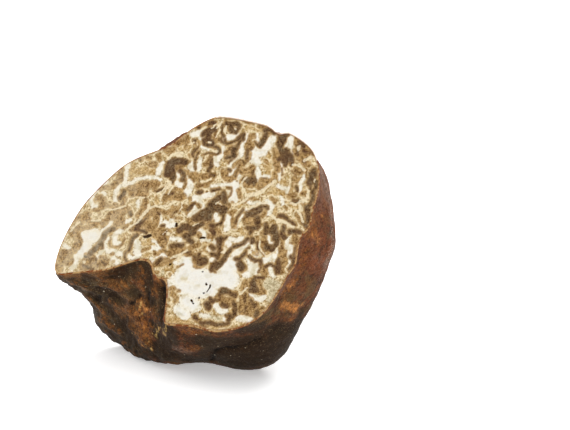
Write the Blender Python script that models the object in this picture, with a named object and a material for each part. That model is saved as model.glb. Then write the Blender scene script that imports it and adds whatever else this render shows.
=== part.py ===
"""Half of a bianchetto truffle, cut through with a knife and resting on its rounded skin.

One solid, grown in one piece: a lobed body, a flat cut that faces the front and leans back, a deep
fold at the lower left where the skin turns in, and a small flat spot underneath that it rests on.
Sizes are in millimetres until the body is written out in metres, with +X to the right, +Y to the
back and +Z up. The origin is under the middle of the bounding box, on the surface it rests on.
"""
import math

import bmesh
import bpy
from mathutils import Vector, noise

MM = 0.001

# How the cut stands: it leans back from upright, and is turned to the left of the front.
CUT_LEAN = math.radians(28)
CUT_TURN = math.radians(20)

# Outline of the cut in its own plane, as (right, up) from the middle of growth.
CUT_OUTLINE = [
    (-27.9, -12.6), (-27.5, -13.7), (-26.6, -14.1), (-23.2, -13.4), (-18.7, -12.5), (-15.1, -11.1),
    (-13.1, -10.3), (-11.8, -10.3), (-10.9, -10.9), (-10.3, -12.1), (-9.5, -13.0), (-8.4, -12.9),
    (-7.7, -13.6), (-7.3, -15.2), (-7.1, -16.7), (-7.0, -18.9), (-6.6, -20.2), (-4.0, -20.2),
    (-1.7, -20.1), (0.3, -20.4), (2.3, -20.5), (6.0, -19.5), (9.1, -17.3), (11.2, -13.8),
    (12.7, -10.1), (13.5, -8.6), (13.5, -5.2), (14.0, -3.4), (14.8, -2.4), (14.9, 0.4),
    (15.3, 3.7), (14.9, 6.8), (13.7, 9.7), (11.5, 11.6), (8.6, 12.9), (7.5, 12.5),
    (6.4, 12.9), (5.2, 13.7), (1.5, 14.4), (-3.0, 14.8), (-5.4, 14.1), (-8.4, 12.1),
    (-11.4, 9.3), (-16.9, 6.6), (-20.0, 4.2), (-24.2, -1.0), (-26.3, -5.2), (-27.6, -9.4),
]

# Widest reach of the skin behind the cut: (angle round the cut in degrees, distance from the middle).
GIRTH = [
    (0, 23.9), (20, 22.7), (40, 22.9), (60, 22.0), (80, 20.5), (100, 19.5), (125, 19.0),
    (150, 20.0), (175, 21.0), (195, 22.0), (208, 25.1), (220, 31.7), (232, 29.4), (245, 27.3),
    (257, 23.3), (270, 21.5), (285, 21.5), (300, 23.7), (320, 24.6), (340, 23.7),
]
# How soon the skin swells from the cut's edge to that reach: (angle round the cut, angle behind it).
SWELL = [(0, 28), (90, 30), (180, 25), (200, 30), (225, 48), (243, 45), (262, 25), (300, 40)]

BODY_DEPTH = 22.0          # from the cut to the back
BODY_FULLNESS = 2.3        # 2 is an ellipsoid, more is boxier
BACK_DRIFT = (-0.55, -0.4)  # the back lies this far left and down for each unit behind the cut

# Swellings and hollows of the skin: (angle round the cut, angle behind it, height, width in degrees).
LUMPS = [
    (320, 58, 3.2, 14),    # foot under the weight
    (316, 32, 2.7, 9),     # rounded lobe at the lower right
    (340, 28, 0.65, 6),
    (208, 13, 1.3, 6),     # under the left tip
    (213, 26, -0.6, 6),
    (60, 38, 1.3, 16),     # right shoulder
    (118, 58, 1.2, 15),    # upper back
    (20, 72, 0.9, 13),     # middle of the back
    (178, 50, -1.5, 13),   # hollow behind the left tip
    (345, 42, -0.6, 9),    # hollow in the right side
    (84, 62, -1.0, 7),     # dimple in the back
    (212, 70, 1.0, 12),    # lower left of the back
    (50, 56, -0.7, 4.5),   # pits
    (142, 40, -0.8, 5),
    (196, 62, -0.7, 4.5),
    (348, 62, -0.7, 4.5),
]
# Furrows of the skin: the (angle round, angle behind) they run through, then depth and width.
FURROWS = [
    ([(243, 3), (249, 9), (250, 24), (258, 56)], 0.8, 2.6),     # at the foot of the deep fold
    ([(278, 20), (290, 14), (302, 13), (318, 21)], 0.45, 2.2),  # over the lower right swelling
    ([(212, 14), (220, 25), (236, 34)], 0.6, 2.8),              # under the left tip
    ([(142, 22), (110, 38), (60, 66), (20, 58)], 0.9, 3.2),     # over the back
    ([(20, 58), (336, 40)], 0.7, 3.0),
    ([(60, 66), (190, 84), (204, 52), (196, 34)], 0.8, 3.4),
]
# Small unevenness of the skin: (size, height).
RIPPLES = [(9.0, 0.75), (3.6, 0.28)]

RIM_SOFTENING = 8          # degrees round the cut over which the outline's small corners are averaged
RIM_FADE = 18              # degrees behind the cut by which the skin has lost those corners
RELIEF_FADE = 16           # degrees behind the cut by which lumps and furrows have their full height
REST_FLAT = 1.3            # how much the weight flattens the underside

CURVE_STEPS = 8            # points of the outline's curve between two of its given points
RIM_POINTS = 168
RINGS = 18
LAST_RING = 58             # degrees behind the cut, where the rings end and the back's grid starts
GRID_SMOOTHING = 60        # rounds of evening out the grid, each by half
SHARP_ANGLE = 40           # degrees over which an edge stays sharp
SKIN_COLOUR = (0.10, 0.042, 0.018, 1.0)
SKIN_ROUGHNESS = 0.75


def cut_axes():
    """Right and up in the plane of the cut, and the way it faces."""
    lean, turn = CUT_LEAN, CUT_TURN
    right = Vector((math.cos(turn), -math.sin(turn), 0))
    up = Vector((math.sin(turn) * math.sin(lean), math.cos(turn) * math.sin(lean), math.cos(lean)))
    facing = right.cross(up)
    return right, up, facing


RIGHT, UP, FACING = cut_axes()
BACK = -FACING + RIGHT * BACK_DRIFT[0] + UP * BACK_DRIFT[1]


def smooth_step(x):
    x = min(max(x, 0.0), 1.0)
    return x * x * (3 - 2 * x)


def curve_through(y0, y1, y2, y3, x0, x1, x2, x3, x):
    """A smooth curve's value at x, between the knots x1 and x2."""
    u = (x - x1) / (x2 - x1)
    start = (y2 - y0) / (x2 - x0) * (x2 - x1)
    end = (y3 - y1) / (x3 - x1) * (x2 - x1)
    return (
        (2 * u**3 - 3 * u**2 + 1) * y1 + (u**3 - 2 * u**2 + u) * start
        + (3 * u**2 - 2 * u**3) * y2 + (u**3 - u**2) * end
    )


def round_table(table, degrees):
    """Value at an angle, from a table of (angle, value) that closes on itself."""
    knots = [(a - 360, v) for a, v in table[-2:]] + table + [(a + 360, v) for a, v in table[:3]]
    degrees %= 360
    i = max(k for k in range(1, len(knots) - 2) if knots[k][0] <= degrees)
    (x0, y0), (x1, y1), (x2, y2), (x3, y3) = knots[i - 1:i + 3]
    return curve_through(y0, y1, y2, y3, x0, x1, x2, x3, degrees)


def rim():
    """Points evenly along the cut's outline, as (angle in degrees, distance), rising in angle."""
    fine = []
    count = len(CUT_OUTLINE)
    for i in range(count):
        before, here, after, next_one = (CUT_OUTLINE[(i + k) % count] for k in (-1, 0, 1, 2))
        for step in range(CURVE_STEPS):
            u = step / CURVE_STEPS
            fine.append(Vector([
                curve_through(before[k], here[k], after[k], next_one[k], -1, 0, 1, 2, u)
                for k in (0, 1)
            ]))
    lengths = [(fine[(i + 1) % len(fine)] - fine[i]).length for i in range(len(fine))]
    spacing = sum(lengths) / RIM_POINTS
    points, travelled, wanted = [], 0.0, 0.0
    for i, length in enumerate(lengths):
        while wanted < travelled + length and len(points) < RIM_POINTS:
            points.append(fine[i].lerp(fine[(i + 1) % len(fine)], (wanted - travelled) / length))
            wanted += spacing
        travelled += length
    polar = [(math.degrees(math.atan2(p.y, p.x)) % 360, p.length) for p in points]
    return sorted(polar)


RIM = rim()


def rim_distance(degrees):
    """Distance to the cut's outline at an angle round it."""
    knots = [(RIM[-1][0] - 360, RIM[-1][1])] + RIM + [(RIM[0][0] + 360, RIM[0][1])]
    degrees %= 360
    for (a, near), (b, far) in zip(knots, knots[1:]):
        if a <= degrees <= b:
            return near + (far - near) * (degrees - a) / (b - a)


SOFT_RIM = [
    sum(rim_distance(angle + k) for k in range(-RIM_SOFTENING, RIM_SOFTENING + 1))
    / (2 * RIM_SOFTENING + 1)
    for angle in range(360)
]


def soft_rim_distance(degrees):
    """The same with the outline's small corners averaged out."""
    degrees %= 360
    angle = int(degrees)
    near, far = SOFT_RIM[angle], SOFT_RIM[(angle + 1) % 360]
    return near + (far - near) * (degrees - angle)


def direction(round_it, behind):
    """The way from the middle of growth at these two angles, in degrees."""
    a, b = math.radians(round_it), math.radians(behind)
    return (RIGHT * math.cos(a) + UP * math.sin(a)) * math.cos(b) + BACK * math.sin(b)


def angles(way):
    """The two angles in degrees of a direction, the reverse of direction()."""
    depth = -way.dot(FACING)
    across = way.dot(RIGHT) - depth * BACK_DRIFT[0]
    above = way.dot(UP) - depth * BACK_DRIFT[1]
    round_it = math.degrees(math.atan2(above, across)) % 360
    return round_it, math.degrees(math.atan2(depth, math.hypot(across, above)))


def off_line(way, course):
    """Angle in degrees between a direction and a line through several others."""
    nearest = 180.0
    for start, end in zip(course, course[1:]):
        whole = end - start
        share = min(max((way - start).dot(whole) / whole.length_squared, 0), 1)
        nearest = min(nearest, math.degrees(way.angle(start + whole * share)))
    return nearest


LUMP_WAYS = [(direction(a, b).normalized(), height, width) for a, b, height, width in LUMPS]
FURROW_WAYS = [
    ([direction(*point).normalized() for point in course], depth, width)
    for course, depth, width in FURROWS
]


def skin_point(round_it, behind):
    """Where the skin is, in the direction of these two angles."""
    cos, sin = math.cos(math.radians(behind)), math.sin(math.radians(behind))
    full = BODY_FULLNESS
    blob = ((cos / round_table(GIRTH, round_it)) ** full + (sin / BODY_DEPTH) ** full) ** (-1 / full)
    sharp, soft = rim_distance(round_it), soft_rim_distance(round_it)
    edge = sharp + (soft - sharp) * smooth_step(behind / RIM_FADE)
    distance = edge + (blob - edge) * smooth_step(behind / round_table(SWELL, round_it))
    way = direction(round_it, behind)
    plain = way * distance
    unit = way.normalized()
    relief = sum(
        height * math.exp(-0.5 * (math.degrees(unit.angle(lump)) / width) ** 2)
        for lump, height, width in LUMP_WAYS
    )
    relief -= sum(
        depth * math.exp(-0.5 * (off_line(unit, course) / width) ** 2)
        for course, depth, width in FURROW_WAYS
    )
    relief += sum(height * noise.noise(plain / size) for size, height in RIPPLES)
    return plain + unit * relief * smooth_step(behind / RELIEF_FADE)


def rings_and_back():
    """The skin as an open sheet: rings behind the cut, then a grid over the back."""
    mesh = bpy.data.meshes.new("skin")
    bm = bmesh.new()
    even = [RIM[0][0] + 360 * i / RIM_POINTS for i in range(RIM_POINTS)]
    rings = []
    for ring in range(RINGS + 1):
        share = ring / RINGS
        behind = LAST_RING * share
        row = []
        for (own, _), evenly in zip(RIM, even):
            round_it = own + (evenly - own) * smooth_step(share)
            row.append(bm.verts.new(skin_point(round_it, behind)))
        rings.append(row)
    for near, far in zip(rings, rings[1:]):
        for i in range(RIM_POINTS):
            j = (i + 1) % RIM_POINTS
            bm.faces.new((near[i], near[j], far[j], far[i]))
    bm.to_mesh(mesh)
    bm.free()
    return mesh


def select_from(mesh, first):
    """Selects the vertices from an index on, and the edges and faces between them."""
    for item in (*mesh.vertices, *mesh.edges, *mesh.polygons):
        corners = getattr(item, "vertices", None) or [item.index]
        item.select = all(i >= first for i in corners)


def make_truffle(collection):
    truffle = bpy.data.objects.new("truffle_half", rings_and_back())
    collection.objects.link(truffle)
    bpy.context.view_layer.objects.active = truffle
    truffle.select_set(True)

    # The back's grid is filled in across the last ring, evened out and then moved out to the skin.
    first_of_last = RINGS * RIM_POINTS
    first_of_grid = first_of_last + RIM_POINTS
    select_from(truffle.data, first_of_last)
    bpy.ops.object.mode_set(mode="EDIT")
    bpy.ops.mesh.fill_grid(span=RIM_POINTS // 4)
    bpy.ops.object.mode_set(mode="OBJECT")
    select_from(truffle.data, first_of_grid)
    bpy.ops.object.mode_set(mode="EDIT")
    bpy.ops.mesh.vertices_smooth(factor=0.5, repeat=GRID_SMOOTHING)
    bpy.ops.object.mode_set(mode="OBJECT")
    for vertex in truffle.data.vertices[first_of_grid:]:
        vertex.co = skin_point(*angles(vertex.co))

    bm = bmesh.new()
    bm.from_mesh(truffle.data)
    open_edges = [edge for edge in bm.edges if edge.is_boundary]
    bmesh.ops.contextual_create(bm, geom=open_edges)
    rest_flat(bm)
    bmesh.ops.recalc_face_normals(bm, faces=bm.faces)
    bm.to_mesh(truffle.data)
    bm.free()
    truffle.data.shade_smooth()
    truffle.data.set_sharp_from_angle(angle=math.radians(SHARP_ANGLE))
    return truffle


def rest_flat(bm):
    """Flattens the underside where it rests, and puts the origin under the middle, in metres."""
    floor = min(vertex.co.z for vertex in bm.verts) + REST_FLAT
    for vertex in bm.verts:
        vertex.co.z = max(vertex.co.z, floor)
    spans = [[vertex.co[k] for vertex in bm.verts] for k in range(2)]
    middle = [(min(span) + max(span)) / 2 for span in spans]
    print("middle of growth above the floor and off the middle:", -floor, middle)
    bmesh.ops.translate(bm, verts=bm.verts, vec=(-middle[0], -middle[1], -floor))
    bmesh.ops.scale(bm, verts=bm.verts, vec=(MM, MM, MM))


def skin_material():
    material = bpy.data.materials.new("truffle_skin")
    material.use_nodes = True
    shader = material.node_tree.nodes["Principled BSDF"]
    shader.inputs["Base Color"].default_value = SKIN_COLOUR
    shader.inputs["Roughness"].default_value = SKIN_ROUGHNESS
    shader.inputs["Metallic"].default_value = 0.0
    return material


def main():
    for thing in list(bpy.data.objects):
        bpy.data.objects.remove(thing)
    collection = bpy.data.collections.new("bianchetto_truffle")
    bpy.context.scene.collection.children.link(collection)
    truffle = make_truffle(collection)
    truffle.data.materials.append(skin_material())


main()
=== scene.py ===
import math
import random

import bmesh
import bpy
import numpy as np
from mathutils import Matrix, Vector, noise


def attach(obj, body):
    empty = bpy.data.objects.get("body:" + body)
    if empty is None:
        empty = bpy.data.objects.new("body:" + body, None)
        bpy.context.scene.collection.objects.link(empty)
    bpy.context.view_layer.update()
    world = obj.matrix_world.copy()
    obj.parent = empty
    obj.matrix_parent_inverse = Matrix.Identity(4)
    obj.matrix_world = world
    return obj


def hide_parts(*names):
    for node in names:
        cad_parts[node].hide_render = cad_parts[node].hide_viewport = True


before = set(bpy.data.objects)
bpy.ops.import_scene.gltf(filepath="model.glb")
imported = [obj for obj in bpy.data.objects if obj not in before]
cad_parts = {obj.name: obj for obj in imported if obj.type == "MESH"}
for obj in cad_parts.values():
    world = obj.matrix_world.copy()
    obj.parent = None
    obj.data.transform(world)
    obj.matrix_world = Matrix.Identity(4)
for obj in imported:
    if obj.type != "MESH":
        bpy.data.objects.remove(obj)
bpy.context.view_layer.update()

mm = 0.001
smoothAngle = math.radians(50)
onCut = 0.01           # mm off the cut within which a point lies on it
markReach = 1.6        # mm past its edge that a mark or stroke is still measured
perMm = 10             # units of the marks and strokes in a mm
tiny = 1e-9            # keeps a division or logarithm from nothing

# the plane of the cut: its middle, how far it leans back, and how far it turns to the left
cut = dict(middle=(0.0052378, -0.0060946, 0.0285576), lean=28, turn=20)
lean, turn = math.radians(cut["lean"]), math.radians(cut["turn"])
cutMiddle = Vector(cut["middle"])
cutRight = Vector((math.cos(turn), -math.sin(turn), 0))
cutUp = Vector((math.sin(turn) * math.sin(lean), math.cos(turn) * math.sin(lean), math.cos(lean)))
cutFacing = cutRight.cross(cutUp)
# moves a thing modelled flat on the ground into the plane of the cut
toCut = Matrix.Translation(cutMiddle) @ Matrix((cutRight, cutUp, cutFacing)).transposed().to_4x4()


def enter(mode):
    bpy.ops.object.mode_set(mode=mode)


def deselectAll():
    if bpy.context.mode != "OBJECT":
        enter("OBJECT")
    bpy.ops.object.select_all(action="DESELECT")


def makeActive(piece):
    deselectAll()
    piece.select_set(True)
    bpy.context.view_layer.objects.active = piece


def pickNothing(piece, kind="FACE"):
    makeActive(piece)
    enter("EDIT")
    bpy.ops.mesh.select_mode(type=kind)
    bpy.ops.mesh.select_all(action="DESELECT")
    enter("OBJECT")


def shadeSmooth(piece):
    makeActive(piece)
    bpy.ops.object.shade_smooth_by_angle(angle=smoothAngle)


def getPoints(mesh):
    points = np.empty(len(mesh.vertices) * 3)
    mesh.vertices.foreach_get("co", points)
    return points.reshape(-1, 3)


def setPoints(mesh, points):
    mesh.vertices.foreach_set("co", np.asarray(points, np.float32).ravel())
    mesh.update()


def getNormals(mesh):
    normals = np.empty(len(mesh.vertices) * 3)
    mesh.vertices.foreach_get("normal", normals)
    return normals.reshape(-1, 3)


def addMask(mesh, name, values):
    mask = mesh.attributes.new(name, "FLOAT", "POINT")
    mask.data.foreach_set("value", np.asarray(values, np.float32))


def inCut(points):
    # (right, up, out) of points against the cut, in mm
    axes = np.array([cutRight, cutUp, cutFacing])
    return (points - np.array(cutMiddle)) @ axes.T / mm


def smoothStep(x):
    x = np.clip(x, 0, 1)
    return x * x * (3 - 2 * x)


def waver(points, size, shift=0.0):
    # smooth noise from -1 to 1 at each point, with bumps of about that size
    away = Vector((shift, shift * 1.7, 0))
    return np.array([noise.noise(Vector(p) / size + away) for p in points])


class Wire:
    # one socket of a material, so that shader maths can be written as plain sums; where a node
    # has several inputs of one name, i0, i1 and so on stand for their places
    def __init__(self, tree, socket=None):
        self.tree = tree
        self.socket = socket

    def add(self, kind, settings=None, out=0, **inputs):
        node = self.tree.nodes.new(kind)
        for name, value in (settings or {}).items():
            setattr(node, name, value)
        for name, value in inputs.items():
            key = int(name[1:]) if name[0] == "i" and name[1:].isdigit() else name.replace("_", " ")
            socket = node.inputs[key]
            if isinstance(value, Wire):
                self.tree.links.new(value.socket, socket)
            else:
                socket.default_value = value
        return Wire(self.tree, node.outputs[out])

    def maths(self, operation, a, b=0.0, clamp=False):
        return self.add("ShaderNodeMath", {"operation": operation, "use_clamp": clamp}, i0=a, i1=b)

    def __add__(self, other):
        return self.maths("ADD", self, other)

    def __radd__(self, other):
        return self.maths("ADD", other, self)

    def __sub__(self, other):
        return self.maths("SUBTRACT", self, other)

    def __rsub__(self, other):
        return self.maths("SUBTRACT", other, self)

    def __mul__(self, other):
        return self.maths("MULTIPLY", self, other)

    def __rmul__(self, other):
        return self.maths("MULTIPLY", other, self)

    def __truediv__(self, other):
        return self.maths("DIVIDE", self, other)

    def __abs__(self):
        return self.maths("ABSOLUTE", self)

    def most(self, other):
        return self.maths("MAXIMUM", self, other)

    def clamp(self):
        return self.maths("ADD", self, 0.0, clamp=True)

    # 0 below low, 1 above high, smooth between them
    def step(self, low, high):
        return self.add("ShaderNodeMapRange", {"interpolation_type": "SMOOTHSTEP"},
                        Value=self, From_Min=low, From_Max=high)

    def mask(self, name):
        return self.add("ShaderNodeAttribute", {"attribute_name": name}, out=2)

    # noise on the piece's own place, from 0 to 1; size is that of its bumps in mm, and along a
    # direction in which they are drawn out to four times their width
    def grain(self, size, detail=2.0, roughness=0.5, distortion=0.0, along=None):
        place = self.add("ShaderNodeTexCoord", out=3)
        if along:
            turn = Vector(along).to_track_quat("X", "Z").inverted().to_euler()
            place = self.add("ShaderNodeMapping", Vector=place, Rotation=turn)
            place = self.add("ShaderNodeMapping", Vector=place, Scale=(0.25, 1, 1))
        return self.add("ShaderNodeTexNoise", Vector=place, Scale=1 / (size * mm), Detail=detail,
                        Roughness=roughness, Distortion=distortion)

    def place(self, axis):
        place = self.add("ShaderNodeTexCoord", out=3)
        return self.add("ShaderNodeSeparateXYZ", out="XYZ".index(axis), Vector=place)

    def mix(self, factor, a, b):
        return self.add("ShaderNodeMix", {"data_type": "RGBA"}, out=2, i0=factor, i6=a, i7=b)

    def bump(self, height, depth, strength=1.0):
        return self.add("ShaderNodeBump", Height=height, Distance=depth * mm, Strength=strength)


def colour(red, green, blue):
    # from the 0 to 255 values of a colour picker to the renderer's own
    shares = [value / 255 for value in (red, green, blue)]
    return [c / 12.92 if c <= 0.04045 else ((c + 0.055) / 1.055) ** 2.4 for c in shares] + [1.0]


def newMaterial(name):
    material = bpy.data.materials.new(name)
    material.use_nodes = True
    shader = material.node_tree.nodes["Principled BSDF"]
    return material, shader, Wire(material.node_tree)


def feed(shader, **inputs):
    for name, value in inputs.items():
        socket = shader.inputs[name.replace("_", " ")]
        if isinstance(value, Wire):
            value.tree.links.new(value.socket, socket)
        else:
            socket.default_value = value


# what is on the skin: each mark is its width, the place (x, y, z) that it starts from and then
# its steps from point to point, all in tenths of a mm
skinMarks = dict(
    rust=[
        (25, -205,-28,156, 43,-11,6, 25,-7,7), (26, -159,-31,153, 23,5,-8, 23,-6,-5),
        (40, -111,-27,116, 14,-8,-18), (50, -90,-41,89, 4,-2,-23), (24, -125,-7,85, 14,-10,-7),
        (24, -104,-32,111, 29,-27,1), (30, -163,22,87, 23,-23,11), (22, -58,-80,162, 5,1,-17),
        (12, 193,-108,250, 10,9,-19), (18, 144,-129,137, 22,17,-2), (20, 153,-107,100, 13,4,13),
        (22, -12,-96,53, 17,-10,5), (16, 60,-110,59, 16,-3,1), (16, 19,-88,41, 11,-8,6),
        (20, -19,-127,95, 33,-13,1), (35, 188,-112,282, 3,2,-22), (20, 176,-118,207, 6,5,15),
        (26, 152,-133,165, 14,4,22), (25, 208,-69,319, 6,3,-24), (12, 207,-86,277, 5,3,-7),
        (30, -89,-46,113, 13,-13,16),
    ],
    ember=[
        (7, 194,-108,250, 8,8,-17), (5, 198,-104,249, 5,5,-10), (4, 207,-86,276, 5,3,-5),
        (10, 147,-128,140, 19,19,-14), (8, -95,-37,98, 11,-13,13), (8, -124,-5,78, 17,-18,9),
        (6, -98,-31,79, 17,-18,-1), (6, -85,-51,123, 10,-9,-2), (9, -142,-30,151, 16,1,-5,
         13,-4,-4), (5, -102,-34,113, 15,-15,8), (5, -84,-50,104, 13,-13,8), (5, -136,-50,174,
         17,-4,7, 13,-4,7), (7, 160,-115,130, 19,18,1), (5, 150,-137,171, 13,11,0), (5, -107,-12,49,
         27,-29,-10), (5, -56,-84,167, 5,2,-11), (8, -221,-29,158, 25,-4,3, 34,-11,7, 22,-6,5),
        (6, -69,-69,193, 5,-5,-5),
    ],
    soil=[
        (50, -199,-4,135, 26,6,-14, 20,-4,-8), (40, -97,-52,181, 20,-8,-1), (50, -166,41,60,
         20,-6,-20, 25,-8,-22, 27,-39,-5), (60, -150,22,69, 23,-7,-26), (30, -73,-63,169, 6,-4,-41),
        (20, -51,-82,156, 1,-4,-22, 0,-4,-19, -5,6,-19), (26, -177,-20,145, 16,7,-13, 16,3,-11,
         17,-4,-9), (22, -175,16,106, 13,-5,-5), (24, -107,-46,173, 20,-5,-5, 15,-15,-3),
        (16, -106,-33,128, 18,-15,8), (18, -109,-7,43, 15,-19,-4), (24, -32,-122,95, -2,20,-27),
        (80, 46,-92,41, 38,-7,-1, 48,0,13), (70, 149,-92,60, 14,9,12), (50, 101,-118,68, -24,-1,1),
        (40, -75,-43,35, 36,-31,1, 48,7,-11), (30, -63,-72,87, 17,-13,-30), (30, 125,-122,95,
         32,23,-7), (16, 168,-95,100, 10,4,15), (40, 21,-129,77, 32,-3,1), (25, 78,-161,108,
         34,23,-1),
    ],
    crevice=[
        (8, -48,-85,151, 1,-9,-21, -2,-6,-22), (3.5, -76,-59,122, 3,-3,-2), (4, -86,-46,96,
         5,-6,-3), (3, -67,-67,130, 0,-1,-12), (8, 28,-59,21, 7,-40,29, 15,-9,9, 20,-5,2),
        (5, 70,-113,61, 26,-8,12, 16,-1,9), (6, -71,-65,141, -5,6,-15), (6, -160,3,112, -8,10,-8),
        (5, -107,-29,111, 11,-11,11, 9,-10,8), (6, -121,24,21, 22,-34,-1), (5, -79,-54,93,
         6,-4,-19), (5, -92,-39,89, 5,-4,-11),
    ],
    lip=[
        (10, 39,16,414, 23,-8,0, 22,-8,-1, 21,-12,-7, 13,-5,-1, 34,-17,-9), (10, 152,-34,396,
         16,-8,-2, 24,-18,-17, 7,-10,-13, 6,27,-18, 6,-7,-18, 5,-3,-20, 5,0,-18, 3,-4,-17,
         2,-8,-15),
    ],
    fringe=[
        (14, 206,-54,338, 7,2,-17, 6,1,-20, 3,-6,-18, 2,-9,-18, 2,-5,-18, 0,-4,-16, -4,-3,-19,
         -6,0,-20), (9, 216,-78,192, -8,-3,-17, -10,-6,-19),
    ],
    bloom=[
        (30, 205,-59,339, 6,0,-19, 7,2,-24), (30, -128,-18,120, 10,-1,-13), (25, -42,-111,88,
         8,14,-27, 22,7,-14),
    ],
    ridge=[
        (12, -163,-20,141, 23,-2,-3, 23,-5,-8, 21,-13,-10), (14, -143,-5,109, 21,-10,-7, 19,-14,-8,
         20,-20,-7), (12, -166,38,64, 22,-11,-12, 25,-21,-8), (10, -71,-65,141, 3,-2,-23, 7,-9,-17),
        (13, -176,21,101, 13,2,-16, 5,6,-18), (12, -113,-11,67, 22,-23,-8, 17,-14,-16),
        (10, -86,-51,152, 10,-9,-12), (12, -140,44,23, 31,-39,-5, 34,-41,4), (10, -207,-15,145,
         22,8,-11, 22,7,-16),
    ],
    flake=[
        (2.5, -63,-71,85, 5,-5,-7), (2, -57,-80,90, 8,-20,-2), (2.5, -54,-87,85, -8,19,-14),
        (2.5, -45,-118,99, -3,18,-16), (2, -42,-115,93, -3,15,-15), (2, -109,-12,54, 6,-6,-3),
        (3, -92,-30,46, 7,-8,-3, 5,-3,-4), (2.5, -79,-45,47, 1,2,-7), (2, -72,-51,48, 3,1,-11),
        (2, -67,-62,70, 7,-6,-6), (2, -52,-88,77, 3,0,-8), (2, -80,-47,60, 6,-4,-7),
        (2, -87,-48,119, -4,6,-14), (2, -82,-52,106, -10,12,-14),
    ],
    speck=[
        (3.5, -76,-61,149), (4.5, -154,-9,125), (4, -122,-19,115), (3.5, -152,34,50),
        (3, -28,-97,59), (3, 7,-133,91), (3, 41,-117,65), (3.5, 34,-87,39), (3.5, 64,-101,47),
        (3, 132,-112,78), (3, 158,-85,66), (2.5, 141,-120,110), (3.5, 190,-86,133),
        (3, 199,-79,145), (3, -173,-25,149), (2.5, -136,15,61), (3, 195,-102,196), (3, 226,-64,258),
        (2.5, 185,-100,153), (2.5, 171,-118,170), (2.5, -14,-110,69), (2.5, 16,-117,65),
        (2.5, 55,-135,81), (3, 86,-114,61), (2.5, 112,-106,53), (2.5, 121,-112,70),
        (2.5, 102,-127,87), (2.5, 76,-99,42), (2.5, 145,-107,85), (2.5, -38,-77,40),
    ],
)


# the rind: the skin all round, its edge at the cut, and a shallow pan that the flesh fills

rindLook = dict(
    width=0.18,            # of the rind's edge at the cut, mm
    panDepth=0.6,
    weld=0.001,            # corners nearer than this are one, mm
    levels=2,
    fadeIn=1.2,            # mm behind the cut over which the unevenness comes in
    # size of the bumps and their height, mm
    unevenness=[(3.4, 0.36), (1.5, 0.24), (0.7, 0.13), (0.34, 0.06)],
    calm=0.4,              # share of the unevenness that is left on the smoother right side
    calmFrom=(2, -6),      # x at which that side begins, and x from which all is rugged, mm
    skinFacing=0.93,       # what faces as the cut does by more than this is the cut
    lip=0.16,              # how far the skin's bright edge stands up from the cut, mm
    # how far each kind of mark stands out, mm, and how softly it ends
    relief=dict(crevice=(-0.40, 0.5), flake=(0.10, 0.2), ridge=(0.40, 1.0), soil=(-0.08, 1.5),
                speck=(0.05, 0.15)),
    lipSoft=0.3,
    lipDeep=0.05,          # mm behind the cut that still stand up with it
    merge=0.15,            # marks of one kind nearer than this run together, mm
    span=3.0,              # mm that a mask's 0 to 1 stand for, with the mark's edge at 0.5
    reliefSpan=0.8,        # the same for the mask of the relief, with the even skin at 0.5
    edgeFade=0.12,         # mm behind the cut over which the edge's own colour goes out
    wander=[(1.3, 0.35), (0.5, 0.15)],   # size and reach of the marks' unevenness, mm
)


def copyOfBody():
    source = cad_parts["truffle_half"]
    rind = bpy.data.objects.new("rind", source.data.copy())
    rind.data.materials.clear()
    bpy.context.scene.collection.objects.link(rind)
    pickNothing(rind)
    enter("EDIT")
    bpy.ops.mesh.select_all(action="SELECT")
    bpy.ops.mesh.remove_doubles(threshold=rindLook["weld"] * mm)
    enter("OBJECT")
    return rind


def selectCut(mesh):
    away = inCut(getPoints(mesh))[:, 2]
    for face in mesh.polygons:
        face.select = all(abs(away[i]) < onCut for i in face.vertices)


def lineDistance(points, start, end):
    whole = end - start
    share = np.clip((points - start) @ whole / max(whole @ whole, tiny), 0, 1)
    return np.linalg.norm(points - start - share[:, None] * whole, axis=1)


def markEdge(points, marks, merge):
    # signed distance in mm from each point to the nearest edge of these marks, below 0 inside them
    total = np.full(len(points), tiny)
    for width, *steps in marks:
        course = np.cumsum(np.reshape(steps, (-1, points.shape[1])), axis=0) / perMm
        width = width / perMm
        reach = width / 2 + markReach
        low, high = course.min(0) - reach, course.max(0) + reach
        near = np.flatnonzero(((points > low) & (points < high)).all(1))
        here = points[near]
        away = np.linalg.norm(here - course[0], axis=1)
        for start, end in zip(course, course[1:]):
            away = np.minimum(away, lineDistance(here, start, end))
        total[near] += np.exp(-(away - width / 2) / merge)
    return -merge * np.log(total)


def cover(edge, soft):
    return smoothStep(0.5 - edge / soft / 2)


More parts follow.
